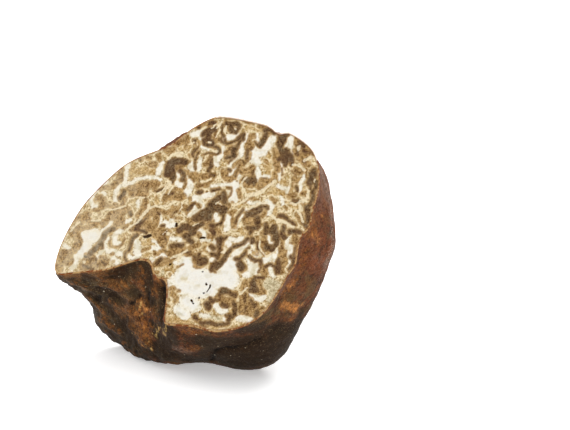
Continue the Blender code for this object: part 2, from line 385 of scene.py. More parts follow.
def shapeSkin(mesh):
    # marks and unevenness of the skin; the pan and the edge at the cut stay as they are
    look = rindLook
    points, normals = getPoints(mesh) / mm, getNormals(mesh)
    away = inCut(points * mm)[:, 2]
    onSkin = normals @ np.array(cutFacing) < look["skinFacing"]
    skin = smoothStep(-away / look["fadeIn"]) * onSkin
    moved = points.copy()
    for n, (size, reach) in enumerate(look["wander"]):
        for axis in range(3):
            moved[:, axis] += reach * waver(points, size, shift=2.3 + n + 5 * axis)
    right, left = look["calmFrom"]
    rugged = look["calm"] + (1 - look["calm"]) * smoothStep((right - points[:, 0]) / (right - left))
    offset = np.zeros(len(points))
    for n, (size, height) in enumerate(look["unevenness"]):
        offset += height * waver(points, size, shift=11.3 * n) * skin * rugged
    for kind, marks in skinMarks.items():
        edge = markEdge(moved if kind != "lip" else points, marks, look["merge"])
        addMask(mesh, kind, np.clip(0.5 - edge / look["span"], 0, 1))
        if kind in look["relief"]:
            height, soft = look["relief"][kind]
            offset += height * cover(edge, soft) * skin
        if kind == "lip":
            lip = cover(edge, look["lipSoft"]) * (away > -look["lipDeep"])
    addMask(mesh, "relief", np.clip(0.5 + offset / look["reliefSpan"], 0, 1))
    addMask(mesh, "edge", smoothStep(1 + away / look["edgeFade"]) * (away < onCut))
    points += normals * offset[:, None] + np.array(cutFacing) * (look["lip"] * lip)[:, None]
    points[:, 2] = np.maximum(points[:, 2], 0)
    setPoints(mesh, points * mm)


def makeRind():
    rind = copyOfBody()
    mesh = rind.data
    pickNothing(rind)
    selectCut(mesh)
    enter("EDIT")
    bpy.ops.mesh.dissolve_faces()
    bpy.ops.mesh.inset(thickness=rindLook["width"] * mm, depth=0)
    enter("OBJECT")
    inner = next(face for face in mesh.polygons if face.select)
    rim = [tuple(inCut(np.array([mesh.vertices[i].co]))[0, :2]) for i in inner.vertices]
    enter("EDIT")
    bpy.ops.mesh.inset(thickness=0, depth=-rindLook["panDepth"] * mm)
    bpy.ops.mesh.select_all(action="INVERT")
    bpy.ops.mesh.tris_convert_to_quads(face_threshold=smoothAngle, shape_threshold=smoothAngle)
    enter("OBJECT")

    # the edges of the cut stay sharp when the skin is subdivided
    away = inCut(getPoints(mesh))[:, 2]
    crease = mesh.attributes.new("crease_edge", "FLOAT", "EDGE")
    flat = np.abs(away) < onCut
    for edge in mesh.edges:
        a, b = edge.vertices
        crease.data[edge.index].value = 1.0 if flat[a] and flat[b] else 0.0
    makeActive(rind)
    subdivision = rind.modifiers.new("subdivision", "SUBSURF")
    subdivision.levels = subdivision.render_levels = rindLook["levels"]
    bpy.ops.object.modifier_apply(modifier="subdivision")

    shapeSkin(mesh)
    shadeSmooth(rind)
    return rind, rim


rindTints = dict(
    dry=(104, 66, 38),
    olive=(94, 76, 42),
    bloom=(128, 104, 90),
    brown=(128, 70, 38),
    deep=(38, 23, 10),
    soil=(38, 29, 16),
    rust=(156, 96, 44),
    ember=(206, 136, 72),
    flake=(196, 160, 96),
    dust=(140, 116, 84),
    warm=(158, 94, 64),
    pale=(200, 186, 160),
    black=(16, 11, 7),
    edge=(190, 152, 100),
    # painted highlight along the raised top edge
    lip=(250, 232, 216),
    fringe=(186, 156, 134),
)


def rindMaterial():
    tints = {name: colour(*tint) for name, tint in rindTints.items()}
    material, shader, wire = newMaterial("truffle rind")
    broad, wide, patch = wire.grain(9, 3), wire.grain(5, 4, 0.65, 0.5), wire.grain(2.2, 4, 0.6)
    fine, dust = wire.grain(0.7, 3, 0.65), wire.grain(0.24, 3, 0.7)
    streak = wire.grain(0.8, 4, 0.7, 0.6, along=(0.7, 0.5, 0.6))
    ragged = (patch - 0.5) * 2.2 + (fine - 0.5) * 1.3 + (dust - 0.5) * 0.5

    # mm inside a kind of mark, below 0 outside, with a ragged edge
    def depthIn(name, rough):
        return (wire.mask(name) - 0.5) * rindLook["span"] + ragged * rough

    def paint(name, factor):
        nonlocal tint
        tint = wire.mix(factor, tint, tints[name])

    tint = wire.mix(streak.step(0.40, 0.62), tints["brown"], tints["deep"])
    paint("dry", broad.step(0.42, 0.62) * 0.6)
    paint("deep", patch.step(0.52, 0.68) * 0.7)
    paint("olive", wide.step(0.52, 0.60) * 0.6)
    # warmer towards the top; painted shade: darker towards the ground
    height = wire.place("Z") / mm
    paint("warm", (height + ragged * 3).step(12, 28) * 0.5 * fine.step(0.3, 0.55))
    low = 1 - (height + ragged * 2).step(3, 15)
    paint("deep", low * 0.5)
    paint("bloom", (1 - wide.step(0.38, 0.46)) * (1 - low) * 0.4 * fine.step(0.4, 0.6))

    # rust, a grey bloom, soil and orange scratches, where the marks put them
    flecks = (streak * 0.3 + fine * 0.35 + dust * 0.35).step(0.45, 0.57)
    left = 1 - (wire.place("X") / mm + ragged * 2).step(-15, -7)
    rust = depthIn("rust", 1.0).step(-0.4, 1.0) * (0.15 + 0.75 * flecks)
    paint("rust", rust * (1 - left * 0.3))
    paint("bloom", depthIn("bloom", 1.0).step(-0.6, 0.8) * (0.2 + 0.6 * fine.step(0.4, 0.6)))
    paint("soil", depthIn("soil", 0.6).step(-0.7, 0.7) * 0.85)
    paint("ember", depthIn("ember", 0.5).step(-0.2, 0.3) * (0.4 + 0.5 * flecks))
    # drier and browner behind
    behind = (wire.place("Y") / mm + ragged * 4).step(0, 9)
    paint("dry", behind * (0.30 + 0.35 * wide.step(0.42, 0.58)))
    # olive and darker on the left, round the fold
    paint("olive", left * (0.6 - 0.4 * flecks))
    paint("deep", left * (0.2 + 0.6 * patch.step(0.42, 0.55)))
    paint("black", left * streak.step(0.50, 0.60) * 0.5)
    # painted shade: darker in the hollows; painted highlight: paler rust on what stands out
    high = wire.mask("relief") + (fine - 0.5) * 0.3
    paint("deep", (1 - high.step(0.30, 0.50)) * 0.75)
    paint("rust", high.step(0.58, 0.85) * flecks * 0.6)

    # fine mottling and dust, then the small marks
    mottle = wire.grain(0.38, 4, 0.8).step(0.47, 0.56)
    # the dark mottling is thicker and the dust thinner lower down, more of the painted shade
    # towards the ground
    paint("deep", mottle * (0.5 + 0.25 * low))
    paint("dust", (dust - fine * 0.5).step(0.33, 0.40) * (0.4 - 0.2 * low))
    paint("flake", depthIn("flake", 0.4).step(-0.12, 0.12) * flecks * 0.8)
    # painted shade: black in the cracks
    paint("black", depthIn("crevice", 0.2).step(-0.2, 0.3) * 0.92)
    paint("pale", depthIn("speck", 0.08).step(-0.06, 0.06) * 0.8)
    fringe = depthIn("fringe", 0.9).step(-0.3, 0.8) * dust.step(0.46, 0.58)
    paint("fringe", fringe * 0.6)

    # the rind's thin edge at the cut, with a painted highlight where the skin stands up from it
    edge = wire.mix(fine.step(0.42, 0.56), tints["edge"], tints["brown"])
    lip = depthIn("lip", 0.2).step(-0.1, 0.3) * (0.5 + 0.5 * fine.step(0.35, 0.5))
    edge = wire.mix(lip, edge, tints["lip"])
    tint = wire.mix(wire.mask("edge"), tint, edge)
    relief = streak * 0.5 + fine * 0.6 + dust * 0.5
    feed(shader, Base_Color=tint, Roughness=0.45 + 0.35 * fine, Specular_IOR_Level=0.08,
         Normal=wire.bump(relief, 0.3, 0.8))
    return material


# the marbling, drawn on the cut: each stroke is its width, the place (right, up) that it starts
# from and then its steps from point to point, all in tenths of a mm
marbling = dict(
    dark=[
        (9, -187,-56, -8,-4, -5,-6, -1,-7, -5,-8, -4,-8, -5,-6, -5,-6), (5, -202,-82, 2,-8),
        (11, -143,-39, -2,-8), (7, -143,-63, -6,-4, -2,-11, -1,-8), (4.5, -153,-89, -4,-4, -1,-6,
         4,-7, 5,-4), (4.5, -163,64, 3,0), (9, -180,8, -2,-6, -4,-6), (3, -189,33, 2,-6),
        (8, -163,-26, 2,-4), (5, -122,13, 8,4, 4,3), (5, -115,-21, 4,-4), (5, -137,-42, 4,8),
        (7, -148,-53, 8,-1, 8,-1, 5,-3), (6, -103,-44, 4,1), (12, -71,-49, 5,7, 9,1, 7,-3),
        (12, -59,-57, 7,3, 6,4), (10, -52,-62, 6,-4), (10, -49,-46, 7,5, 8,7), (12, -46,-26, 12,3,
         11,-1), (7, -80,-76, 10,3, 10,1), (5, -50,-83, 5,1), (9, -99,-104, 5,5), (3.5, -88,-84,
         1,-1), (15, -26,-96, 7,2), (7, -30,-84, 1,-4), (6, -38,-88, 4,-1), (8, -12,-69, 5,-4),
        (6, -9,-82, 7,0), (13, -83,66, -10,1, -9,-1), (15, -107,62, -3,-9, 1,-8), (13, -103,46,
         4,-7), (6, -98,36, 0,-6), (8, -88,51, 6,-4), (8, -80,43, -2,-7), (5, -69,89, -3,-7, 2,-5),
        (4.5, -61,85, -3,-9, -1,-8, 1,-8, 1.5,-4), (7, -38,74, 1,-7, 2,-5), (8, -36,62, -3,-8),
        (6, -35,49, 7,-2), (3, -52,40, 1,-4), (7, -51,18, 4,-1, 3,1), (6, -26,22, 6,2, 5,2),
        (7, -53,-2, -5,-6, -4,-5), (4, -85,-19, 3,1), (10, -6,19, 2,-7, 2,-6), (12, -12,11, -7,-6,
         -5,-6), (13, -22,-3, 8,-2, 7,-2, 6,1), (12, -4,-12, 5,4), (13, -26,-9, -6,-5, -7,-6,
         -7,-6), (12, -22,-12, -4,-9), (2, 1,6, 4,-4, 4,-3), (3, 7,23, -1,-6, -3,-3), (8, -73,129,
         5,-2), (8, -52,134, 5,2, 4,0), (10, -60,115, 6,6, 5,3), (10, -51,116, 5,5, 5,5),
        (9, -50,109, 1,3), (8, -56,106, 2,-7, 7,-2, 6,2), (7, -55,105, 5,4, 8,-4, 2,-5), (6, -37,96,
         6,-1, 5,-4, 1,-4, -5,-3), (4, -32,83.5, -12,0.5, -8,-3), (9, -22,136, 8,-1, 9,2, 5,-3),
        (10, -13,128, 3,-4, 6,0), (6, 1,131, -3,-4), (5, -29,132, 1,-8, 2,-7, 3,-4), (5, -27,109,
         2,-4, 5,-3, 6,0, 7,3, 7,4), (8, 2,112, 5,4, 4,4), (7, 10,116, 1,-5), (5, -20,109, 1,-4),
        (6, 6,108, -1,-6, -1,-7), (12, -2,94, 1,-6, 1,-5), (8, -12,79, 6,1), (5, -3,76, -3,-5),
        (6, -5,59, 3,-1), (7, 21,95, 1,-7, 1,-7), (3.5, 26,76, -3,-3, -2,-4, -2,3, -3,4),
        (5, 33,108, 4,-4, 6,-3), (5, -75,104, 5,0), (3, -71,100, 1,-2), (5, -65,92, -4,-6, -2,-3),
        (9, 46,129, 7,3, 6,-2, 4,-4), (9, 49,122, -2,-6, -2,-6), (5, 43,109, -3,-4), (13, 74,124,
         2,-8, -1,-8), (9, 82,125, -1,-9), (5, 86,129, 1,-4), (6, 78,129, 6,1), (9, 77,102, 2,-6),
        (14, 84,95, 4,-6, 1,-7), (12, 94,90, 4,-5), (7, 91,78, -1,-4), (7, 102,82, -1,-7),
        (5, 86,101, 6,-3), (9, 78,83, 3,5), (3, 85,68, 2,-7, 1,-4), (6, 111,117, -1,-5), (4, 133,96,
         2,-2), (2.5, 103,65, 5,-4, 4,-2), (5, 37,60, 1,-6), (14, 33,43, 5,1), (5, 42,49, 3,-5,
         -1,-7), (6, 115,40, 2,-6), (12, 139,68, -2,-6), (13, 137,54, -1,-5), (6, 144,64, -1,-5),
        (9, 146,50, 1,-8), (5, 137,41, 2,-4), (7, 69,3, -7,0, -8,-5, -8,-2), (8, 62,-4, -8,-5,
         -8,-1, -7,-1), (5, 73,2, 1,-2), (5, 32,-5, -4,-7, -4,-7, -2,-8), (10, 59,-16, 2,-7, 1,-6),
        (9, 45,-34, 7,0, 7,1), (7, 50,-43, 3,3), (8, 114,17, 5,-1, 3,2), (3, 115,27, 1,-1),
        (8, 94,-10, 7,1, 6,-3), (6, 111,-16, 8,-3, 4,-3), (10, 138,8, 1,-6), (9, 142,-5, 1,-7),
        (7, 140,-21, 3,-3), (6, 146,28, 1,-8), (7, 145,36, -2,-4), (5, 1,-19, -1,-7, -3,-5, -6,-3,
         -5,-1), (8, -18,-35, 5,-1), (9, -16,-43, 6,-5), (9, 3,-54, 1,-8, -2,-6), (7, -3,-56, 3,-6),
        (7, 3,-72, 0,-8, -1,-7), (5, 12,-51, -4,-5), (7, 48,-52, -5,-6, -7,-5, -9,-3), (8, 23,-72,
         -5,-6, -3,-8), (11, 13,-90, -4,-6, -5,-6), (8, 1,-95, -4,-7, -1,-6), (7, 47,-76, -4,-5,
         -3,-5, -6,0), (14, 42,-94, 4,-5), (4, 49,-68, 4,2), (6, 55,-79, 6,-5, 7,-2, 7,1),
        (6, 76,-84, 1,-5), (9, 56,-51, 1,-5), (5, 64,-56, 4,-6, 1,-5), (9, 74,-26, 2,-6, 0,-7),
        (12, 89,-29, -3,-8), (11, 92,-38, 1,-8), (8, 98,-43, 0,-9, -2,-7), (13, 83,-62, 7,-2),
        (7, 105,-26, 1,-7), (9, 104,-40, 5,-4), (8, 105,-81, 1,-8, -1,-8), (6, 86,-94, 3,3, 6,2,
         6,-3), (12, 69,-122, 3,-7), (7, 72,-113, 8,1, 5,0), (9, 68,-133, 10,1), (7, 83,-167, 3,-6),
        (12, 20,-140, 7,1), (9, 32,-141, 8,-2, 3,-2), (7, 2,-154, 7,-3), (13, 0,-164, 2,-2),
        (7, 24,-162, 8,-1), (9, 44,-159, 3,-7), (8, 48,-168, 0,-6), (8, 41,-177, -1,-8),
        (4, 33,-178, 4,1), (6, 41,-189, -6,-3, -11,-1, -12,1, -10,0, -7,-2), (3.5, -8,-193, 5,-5,
         6,-1), (8, -19,-186, 3,-1), (6, 131,-76, -1,-10, -4,-8), (9, 116,-34, 8,2, 8,-2),
        (9, 49,123, -1,-9, -4,-8), (7, 109,112, 6,-6), (6, 106,98, 2,-5), (6, 116,99, 6,-2),
        (5, 127,102, 2,-5), (4.5, 118,82, 6,-2), (5, 80,-54, 1,-9), (4.5, 102,-96, 3,-8),
        (5, 108,-86, -1,-10), (3, 77,-88, 1,-7, -2,-8), (8, 69,-118, 4,-10), (3.5, 129.5,-58, 0,-12,
         -0.5,-14, -3,-8), (5.5, 124,-73, 3,-4), (6, 70,-149, 9,-9), (7, 83,-165, 3,-4),
        (5, 60,-142, 1,-12), (5, 66,-160, -2,-8), (6, 70,-126, 9,-8), (6, 85,-167, -4,-7),
        (7, 47,-170, -1,-10), (6, 56,-21, 5,-8), (5, 40,-15, 12,2), (2, 131,-2, 4,-10, 2,-8),
        (9, -7,-7, 6,-3), (4, 2,-17, -0.5,-9, -2.5,-7), (1.2, 2,5, 6,-6), (3, 8,47, 2.5,9),
        (5, -5,59, 3,-2), (4, -80,44, 4,-12), (7, -62,-13, 4,6), (6, -10,-69, 5,-4), (6, -7,-82,
         8,-2), (10, -20,-93, 2,-4), (5, -78,-76, 15,1), (9, 2,-162, 0,-7), (5, 17,-142, 2,-8),
        (4, 10,-153, 6,-3), (5, 42,-154, 4,-9), (6, 24,-160, 9,-3), (5.5, -7,-193, 13,0, 14,-1.5,
         12,1.5), (7, -19,-184, 5,-5), (9, -104,59, 5,-11), (4, -121,14, 7,4), (5, -99,9, 6,4),
        (3, -83,-17, -6,-8), (5, -96,-60, 6,-6), (3, -82,-74, 5,-2), (4, -199,-62, 1,-11),
        (5, -206,-86, -6,-10), (3, -202,-89, 1,-1), (6, -228,-122, 14,-3), (5, -224,-105, 4,-5),
        (4, -208,-109, 2,-7), (5, -196,-113, 6,-2), (7, 144,28, 0,-8, -2,-8), (6, 142,4, 1,-10,
         0,-10), (11, 89,-32, 4,-11), (7, 96,-47, 2,-9, -5,-9), (5, 79,-32, 6,-2), (5, 102,-36,
         6,-6), (6, 108,-86, 2,-16), (8, 79,122, 0,-12),
    ],
    brown=[
        (9, -275,-127, 5,0, 3,-6), (11, -274,-106, 9,2, 9,1), (14, -269,-113, 8,-1, 8,-2),
        (6, -266,-120, 13,-2), (13, -258,-69, 8,-5, 6,-9, -2,-9, -3,-5), (8, -254,-61, 11,0),
        (5, -261,-47, 7,3, 6,5), (9, -246,-49, 5,7, 9,-5), (5.5, -236,-59, 8,2, 6,5), (5, -220,-49,
         10,2, 6,4), (9, -206,-52, 4,7), (15, -196,-35, 12,-1, 8,-6), (11, -182,-44, -1,-8),
        (6, -170,-53, 6,3), (16, -218,-108, -5,-8, -4,-7), (10, -212,-113, 5,-6, -9,-4),
        (7, -200,-106, 3,-9, -5,-5), (7, -192,-106, 5,-4, -5,-8), (3.5, -183,-99, 5,1),
        (3.5, -177,-110, 2,0), (3.5, -189,-77, 3,-7, 7,-3, 7,2, 6,5, 3,9), (8, -153,-54, 9,1, 8,-2),
        (9, -227,-9, 7,3, 7,-3), (7, -217,-16, 7,-1, -6,-5), (7, -223,8, 8,5, 8,-1), (11, -192,34,
         -2,-8, -7,-9), (7, -192,46, 0,-9), (12, -170,14, 9,2, 11,6, 12,1, 12,3), (9, -167,4, 11,3,
         12,0), (8, -144,18, 2,-10), (7, -176,-4, -3,-9), (6, -192,-15, 4,-3), (4, -205,-19, 12,-2),
        (4, -169,-18, 4,-2), (13, -188,-32, 12,6), (5, -228,-27, 8,-2, 3,-4), (7, -239,-34, 4,-1),
        (9, -140,-4, 1,-6, -2,-6), (6, -145,-23, -4,-8), (8, -142,58, 8,0), (5, -129,69, 2,-4),
        (5, -134,74, 4,2), (4, -151,68, 4,1), (5, -129,23, 4,-8), (10, -115,-24, 2,-12, -4,-11,
         -11,-1), (15, -96,-56, 2,-8), (7, -93,-70, -1,-6), (9, -106,-58, -7,-1), (4, -96,-54, 5,4,
         5,-3), (5, -89,-22, 2,-5), (3, -82,-29, 6,1, 6,-1), (7, -58,-31, 8,0), (7, -37,-51, 4,-4),
        (11, -76,-84, 9,2, 7,4), (8, -82,-89, 6,3), (8, -50,-87, 8,2), (8, -46,-76, 7,4, 5,3),
        (4, -87,-107, 7,5, 6,4, 8,6), (8, -103,-107, 7,0), (5, -88,-98, 6,-1), (3.5, -129,-88, 5,3,
         7,2), (5, -105,-91, 5,1), (5, -97,-86, 7,2), (3.5, -74,-121, 2,-2), (4, -99,-120, 4,-1),
        (3, -63,-109, 4,2, 5,4), (13, -33,-94, 3,-7, 6,0), (3, -21,-71, -2,-5), (9, -104,56, 8,-2,
         4,4), (5, -76,37, 1,-7, -1,-7), (2.5, -82,54, 6,-3, 7,-7, 4,-6, 4,-3), (8, -121,84, 5,-1,
         9,3), (3.5, -77,79, 2,-3), (3, -75,68, -3,-5), (7, -39,79, -3,-8, -3,-7), (9, -64,46,
         10,-2, 10,0, 9,3, 7,0), (5, -56,40, 3,-4), (7, -54,27, 8,2, 8,0), (4, -39,33, 7,5, 3,3),
        (9, -85,8, 8,-1, 4,3), (9, -106,5, 9,3, 2,5), (7, -106,14, 0,-5), (5, -93,19, 3,0, 10,-2),
        (5, -63,6, 1,-2), (5, -66,-9, 3,-9), (5, -46,-3, 2,-4), (7, -89,-12, 6,-4, 3,3),
        (5, -89,-20, 1,-5), (2.5, -77,-5, 3,-7, -2,-8), (3, -70,-6, 1,-7), (5, -104,-22, 9,3),
        (3, -109,0, 5,-2), (4, -1,29, 6,-1, 3,-3), (7, -72,132, 7,0), (6, -57,133, 5,-3),
        (6, -39,121, 1,-8, -1,-4), (5, -33,105, 3,4), (9, -7,96, -3,-7, -3,-3), (8, 23,118, -1,-8,
         0,-8), (9, 26,104, 1,-7), (5, 28,88, 0,-7), (4.5, 14,76, -5,-3, -4,-5, -1,-4), (4, 29,120,
         2,-4), (3.5, -65,102, 3,-4, -2,-5), (6, -87,109, 1,-5, 2,-4), (2.5, -86,96, 0,-8),
        (9, -103,96, 8,3, 5,1), (7, 36,136, 8,0), (4, 52,122, 6,3), (9, 69,96, 3,-8, 1,-6, 2,-8),
        (6, 79,70, -1,-5), (8, 103,120, 3,-5), (10, 112,112, 2,-8), (9, 103,98, 3,-4, 3,4),
        (12, 122,105, 7,-6), (12, 117,96, 6,-3), (8, 112,86, 6,-2), (9, 122,80, 7,-2), (10, 110,66,
         8,-1), (2.5, 122,70, 5,-1, 0,-7, 1,-5), (4, 55,78, 4,-2), (5, 74,59, 3,-5), (8, 54,45, 8,1,
         7,-2), (5, 73,49, -1,-5), (12, 32,59, 3,5), (9, 19,58, 7,1), (5, 28,39, 0,-5), (5, 26,49,
         -5,-5, -1,-5), (10, 50,37, 5,-3, 5,2), (9, 109,52, 5,-2), (4, 107,45, 1,-8, -1,-5),
        (6, -15,56, 4,-8, 6,-5, 6,-1, 5,4, 4,8, 3,10, 1,6), (6, 19,26, 2,-6, 2,-5), (3, 11,6, 1,-1),
        (3.5, 33,8, 6,6, 7,2), (4, 10,-12, 5,-3), (3, 33,-9, 4,-1), (7, 70,-6, -4,-6), (8, 18,-24,
         3,-3, 1,-7), (13, 40,-20, 9,0, 8,-2), (5, 76,18, 6,-3, 2,-5), (9, 107,23, 5,2), (5, 128,15,
         2,-2), (7, 127,29, 6,0), (2.5, 101,6, 4,-4), (6, 124,-5, 3,-4), (4, 132,-16, 6,-5),
        (5, -26,-39, 4,7, 6,4), (6, -9,-40, 5,-3, 3,-5), (8, -18,-54, 6,1), (5, 1,-109, 2,-1),
        (6, 49,-96, 3,-3, -3,-5), (5, 49,-71, -1,-5), (3, 76,-92, 2,-6, -2,-5), (3.5, 64,-48, 2,-5),
        (8, 72,-40, 4,-8, -3,-8), (7, 76,-59, 2,-7), (5, 107,-50, 0,-8), (6, 106,-63, 3,-5),
        (8, 108,-74, 5,-2, 3,-8), (9, 112,-92, 1,-7), (7, 85,-98, 3,-6), (10, 56,-124, 2,-5),
        (10, 80,-132, 8,-2), (16, 60,-146, 6,-10, 8,-8), (14, 59,-159, 1,-7), (12, 78,-156, 5,-8),
        (8, 66,-170, 8,-1), (8, 16,-147, -2,-5), (12, 20,-152, 8,-4, 8,0), (6, 0,-170, 3,-1),
        (6, 43,-140, 2,-6), (6, -9,-190, -5,2), (6, -67,-145, 5,2), (7, -63,-153, 4,-3),
        (4, -54,-147, 3,1), (5, -57,-164, 4,5), (4, -68,-172, 4,-1), (7, 126,-39, 3,-7),
        (5, 132,-56, 1,-10), (11, -139,-45, 5,11, 6,8, 8,5, 6,2), (6, 79,100, 0,-14, -1,-14, 2,-8),
        (16, 106,114, 12,-9, 10,-9), (15, 108,96, 14,-4), (2.5, -26,142, 10,2, 11,1, 8,-1, 9,-4,
         13,-2), (6, -73,128, 10,3), (1.5, 59,-68, 5,-8, 5,-1), (1.5, 66,-66, 3,-7), (9, 75,-46,
         1,-10, 4,-9), (2, 71,-67, 6,-8, 7,-1, 7,4, 6,8), (8, 107,-62, 2,-12), (5, 114,-66, 1,-10),
        (13, 109,-82, 0,-16), (7, 85,-94, 0,-12), (8, 56,-122, 2,-8), (10, 76,-120, 4,-8),
        (2, 120,-52, 8,-1, 2,-4), (12, 58,-142, 1,-24), (12, 70,-150, 2,-18), (8, 82,-133, 7,-1),
        (5, 93,-159, -5,-10), (10, 40,-24, 16,-2), (3.5, 123,-4, 7,-12), (4, 12,-14, 7,6),
        (7, -8,54, 2,-8, 6,-3.5, 7,3.5, 3,8), (1.5, -77,50, 8,-9, 9,-5), (4, -52,-1, 8,-4),
        (9, 5,-54, 0,-22), (6, 5,-74, -1,-14), (8, -76,-84, 12,1), (3, -80,-99, 10,5, 9,6, 9,5),
        (10, 16,-151, 10,-4, 13,1), (4, -4,-198, 10,0), (5, -162,64, 3,0), (5, -152,68, 7,0),
        (6, -96,59, 9,-3), (10, -143,18, 2,-10), (6, -128,15, 5,-1), (9, -107,10, 8,-6), (7, -90,5,
         11,0), (9, -140,-12, 2,-2), (6, -82,-13, -7,-9), (4, -109,-18, 13,-4), (12, -134,-41,
         14,-3), (9, -124,-52, 8,6), (5.5, -148,-64, -2,-12, -1,-13, -6.5,-6, 0.5,-8),
        (13, -109,-58, 15,-1), (9, -102,-68, 10,-3), (5, -105,-50, -5,-6), (4, -95,-76, 3,-3),
        (2.5, -128,-87, 11,4.5), (4, -107,-88, 6,-2), (3, -90,-107, 8,6), (4, -88,-86, 8,-1),
        (3, -258,-46, 6,3, 6,5), (3.5, -238,-59, 11,3, 6,4), (13, -224,-106, -2,-14),
        (12, -213,-112, 4,-11), (9, -197,-107, 7,-8), (8, -270,-127, 1,-3), (7, 125,-44, 4,-6),
        (7, 85,-96, 1,-8), (9, 74,-116, 7,-10, 6,-9), (6, 56,-122, -2,-10), (5, 42,46, 2,-7, -3,-5),
        (6, 32,40, 3,-5),
    ],
    ochre=[
        (7, -169,-74, 3,7, 4,3), (7, -191,-80, 5,-4), (5, -189,-66, 6,0), (9, -172,55, -1,-13,
         3,-13), (13, -164,44, 14,4, 14,-3), (5, -205,-13, 2,-2), (4, -165,-6, 3,-2), (5, -233,-11,
         3,-1), (8, -126,-36, 5,6), (6, -126,-52, 6,-4), (8, -129,-76, 5,-2, 6,4), (9, -120,-68,
         10,0, 6,-1), (5, -98,-31, 5,-3), (6, -102,-26, 6,1), (7, -69,-56, 6,1), (6, -54,-75, 6,-3),
        (8, -121,-89, 2,-5), (6, -123,-98, 3,2), (5, -142,-95, 2,-1), (6, -82,-115, 4,2),
        (7, -70,-118, 4,2), (7, -24,-68, 8,3), (4, -20,-78, 2,-4), (6, -96,87, 6,-1), (4, -120,76,
         3,-3), (5, -27,61, 0,-4), (8, -93,4, 7,-2), (7, -96,-2, 6,2), (8, -122,2, 4,-7),
        (4, -42,92, 3,1), (8, -79,93, -1,-7), (8, -96,90, 6,1), (10, 18,133, 10,0), (5, 14,132,
         1,-6), (5, 69,130, 4,-2), (8, 32,129, 7,-1), (5, 124,85, 9,1), (7, 105,72, 4,-2),
        (12, 59,86, 3,-6), (15, 60,72, 5,-8, 7,-5), (8, 34,27, 5,3), (7, 88,47, 8,-2), (3, -17,70,
         1,-8, 2,-7), (3.5, 16,-4, 8,5, 7,4), (5, 5,-24, -1,-6), (12, 37,-39, 5,-5), (8, 71,26, 8,0,
         8,1), (8, 76,33, 8,-1), (9, 92,30, 5,-5), (7, 126,36, 4,-3), (7, 103,14, 3,2), (6, 110,8,
         13,-2), (8, 86,1, 0,-7), (5, -1,-39, 5,4), (2.5, 33,-92, 3,-10, 5,-8, 6,-3, 4,4, 4,7),
        (5, 44,-107, 3,-1), (6, 80,-72, 7,-3, 5,5), (7, 62,-117, 5,2), (4, 91,-126, 3,-6),
        (3.5, 72,-175, 4,2), (4, 82,-153, 4,-6), (6, -21,-182, 1,-1), (4, 40,-169, 2,-3),
        (6, -44,-173, 3,4), (8, -66,-193, 21,-1, 20,-1), (6, -10,-200, 25,0, 20,2, 15,5),
        (4, 68,-184, 4,-1), (3, -31,-158, 0,1), (2.5, -56,-136, 1,0), (5, 63,-69, 6,-5),
        (10, 123,-42, 5,-7), (4.5, 84,-150, 4,-13), (5, 66,-175, 11,0), (4, 63,-185, 14,3),
        (4, 32,-198, 18,2, 16,7), (8, 33,29, 6,-6), (7, 128,39, 1,-10), (6, -24,-66, 7,-1),
        (5, -56,-189, 14,-4, 14,-1), (3.5, -58,-198, 28,0, 30,-2, 30,0), (8, -112,-72, 6,-4),
        (6, -121,-92, 4,-1), (8, -262,-112, 7,-2), (7, 33,28, 6,-4), (12, 60,72, 8,-8), (8, 72,83,
         -3,9),
    ],
    white=[
        (24, -233,-74, 13,3), (20, -228,-87, -8,-13), (9, -243,-106, 0,-17, -5,-6), (6, -269,-92,
         12,-5), (6, -193,-44, -3,-9, -9,-8, -5,-8, -4,-8), (7, -193,-74, -5,-8, 4,-8, -8,-8,
         -2,-8), (8, -190,-94, 14,0, 11,-3), (9, -183,-69, 5,-10, 8,-1), (8, -180,-62, 8,3),
        (6, -160,-39, -6,-4), (12, -142,-74, 5,-11), (6, -150,-99, 8,-3, 6,3), (10, -177,-106,
         8,-5), (7, -182,55, -1,-15, 1,-20), (5, -182,19, 9,2, 11,10, 17,4, 13,1, 12,-3),
        (8, -125,50, -1,-7), (7, -190,16, -6,-10, 1,-9, 2,-5), (7, -215,23, -9,-10, -10,-12, -5,-9,
         5,-10), (5, -218,3, 5,-3), (4.5, -152,-6, 1,-9), (5, -232,-22, 6,1), (5, -109,-24, 2,-9,
         1,-9), (8, -98,-38, 8,-5, 8,3), (5, -89,-33, 5,3), (6, -83,-63, 11,1, 6,-2), (3, -74,-70.5,
         14,1), (8, -37,-45, 5,-3, 6,-4), (6, -112,-82, 10,1, 6,1), (9, -99,-94, 6,2, 5,-1),
        (5, -110,-99, 3,-5), (9, -139,-90, 6,-4), (4, -113,-70, 7,-1, 3,-5), (5, -10,-77, 7,0),
        (5, -29,-61, 12,1), (8, -6,-62, 3,-4), (4, -16,-72, 2,-4), (6, -91,46, 1,-6), (8, -89,29,
         6,-3, 2,3), (5, -121,63, -2,-7, -3,-8), (9, -70,64, -2,-5, 5,-5), (12, -68,33, 2,-11,
         -3,-8), (6, -72,42, 3,-6), (7, -56,74, -1,-10, 1,-8), (8, -32,76, 6,-2, 2,8), (6, -30,68,
         5,-2), (9, -56,6, 12,3, 10,5, 10,3), (7, -45,2, 6,-5, 3,-4), (5, -29,29, 9,3, 10,1, 12,1),
        (4, -51,-6, -3,-6), (6, -50,-10, 6,-2, -9,-6), (5, -59,-22, 5,0), (5, 1,22, 2,-4),
        (8, -13,-17, -1,-5, 5,-4), (11, -14,113, 5,1, 6,5), (4, -23,112, 2,-4), (7, 11,103, 1,-10,
         0,-9, -8,-5, -5,-7, -3,-7), (8, 16,119, -2,-9), (12, 33,94, -1,-8, 1,-7), (10, -77,114,
         8,2, 5,3), (6, -64,109, 4,-2, 1,3), (5, -46,90, -9,2, -4,3), (5, -20,96, 0,-6), (6, -22,86,
         -1,-6), (5, 33,120, 3,-7, 3,-5), (13, 59,112, -3,-8, -6,-6), (8, 63,120, 0,-6), (14, 35,92,
